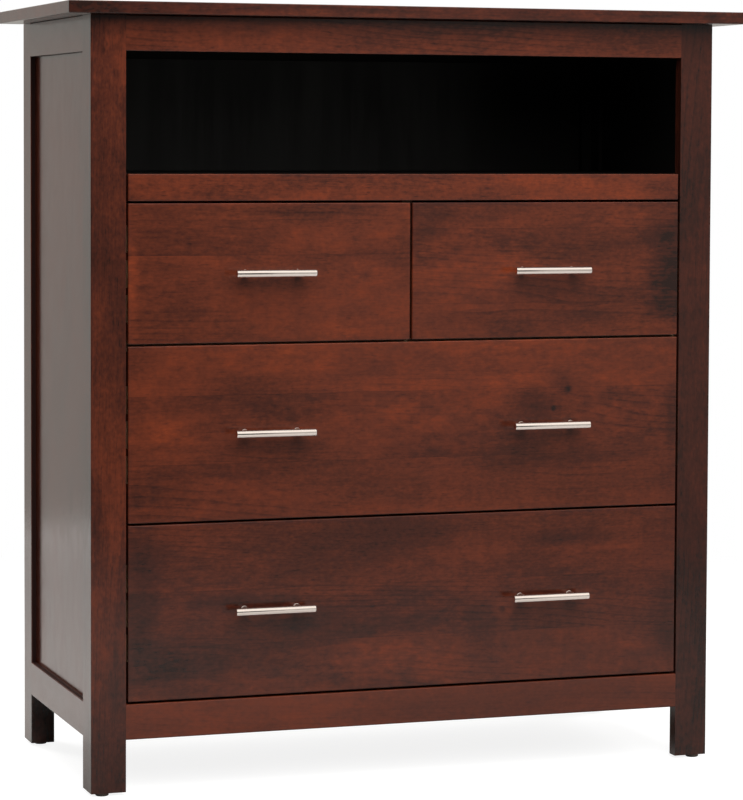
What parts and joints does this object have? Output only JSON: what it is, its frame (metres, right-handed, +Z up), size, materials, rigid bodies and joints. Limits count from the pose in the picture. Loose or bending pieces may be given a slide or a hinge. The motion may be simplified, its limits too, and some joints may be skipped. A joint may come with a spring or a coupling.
{
  "type": "media chest",
  "caption": "Tall media chest: an open component bay over half-width and full-width flush drawers, in a frame-and-panel case with an overhanging top.",
  "frame": {"origin": "on the floor, under the middle of the top panel", "axes": "+Z up, -Y out of the front, +X to the right of someone facing the front"},
  "size_m": [1.168, 0.533, 1.272],
  "materials": {
    "cherry": "dark red-brown cherry stain under satin lacquer",
    "black_stain": "black stain inside the bay",
    "plywood": "clear-coated birch plywood",
    "maple": "clear-coated maple",
    "nickel": "brushed nickel plate",
    "glide": "dark moulded plastic"
  },
  "bodies": {
    "case": {"top_panel": "cherry", "front_left_post": "cherry", "front_right_post": "cherry", "rear_left_post": "cherry", "rear_right_post": "cherry", "left_side_top_rail": "cherry", "left_side_bottom_rail": "cherry", "left_side_panel": "cherry", "right_side_top_rail": "cherry", "right_side_bottom_rail": "cherry", "right_side_panel": "cherry", "front_top_rail": "cherry", "front_bottom_rail": "cherry", "rear_top_rail": "cherry", "rear_bottom_rail": "cherry", "shelf_front_rail": "cherry", "media_shelf": "black_stain", "back_panel": "black_stain", "bottom_panel": "plywood", "dust_panel": "plywood", "drawer_divider": "plywood", "front_left_glide": "glide", "front_right_glide": "glide", "rear_left_glide": "glide", "rear_right_glide": "glide", "upper_left_outer_runner": "maple", "upper_left_inner_runner": "maple", "upper_right_outer_runner": "maple", "upper_right_inner_runner": "maple", "middle_left_runner": "maple", "middle_right_runner": "maple", "lower_left_runner": "maple", "lower_right_runner": "maple"},
    "upper_left_drawer": {"upper_left_drawer_front": "cherry", "upper_left_drawer_left_side": "maple", "upper_left_drawer_right_side": "maple", "upper_left_drawer_back": "maple", "upper_left_drawer_bottom": "plywood", "upper_left_drawer_pull": "nickel"},
    "upper_right_drawer": {"upper_right_drawer_front": "cherry", "upper_right_drawer_left_side": "maple", "upper_right_drawer_right_side": "maple", "upper_right_drawer_back": "maple", "upper_right_drawer_bottom": "plywood", "upper_right_drawer_pull": "nickel"},
    "middle_drawer": {"middle_drawer_front": "cherry", "middle_drawer_left_side": "maple", "middle_drawer_right_side": "maple", "middle_drawer_back": "maple", "middle_drawer_bottom": "plywood", "middle_drawer_pull_1": "nickel", "middle_drawer_pull_2": "nickel"},
    "lower_drawer": {"lower_drawer_front": "cherry", "lower_drawer_left_side": "maple", "lower_drawer_right_side": "maple", "lower_drawer_back": "maple", "lower_drawer_bottom": "plywood", "lower_drawer_pull_1": "nickel", "lower_drawer_pull_2": "nickel"}
  },
  "joints": [
    {"name": "upper_left_drawer_slide", "type": "slide", "parent": "case", "child": "upper_left_drawer", "axis": [0, -1, 0], "range_m": [0, 0.32]},
    {"name": "upper_right_drawer_slide", "type": "slide", "parent": "case", "child": "upper_right_drawer", "axis": [0, -1, 0], "range_m": [0, 0.32]},
    {"name": "middle_drawer_slide", "type": "slide", "parent": "case", "child": "middle_drawer", "axis": [0, -1, 0], "range_m": [0, 0.32]},
    {"name": "lower_drawer_slide", "type": "slide", "parent": "case", "child": "lower_drawer", "axis": [0, -1, 0], "range_m": [0, 0.32]}
  ]
}
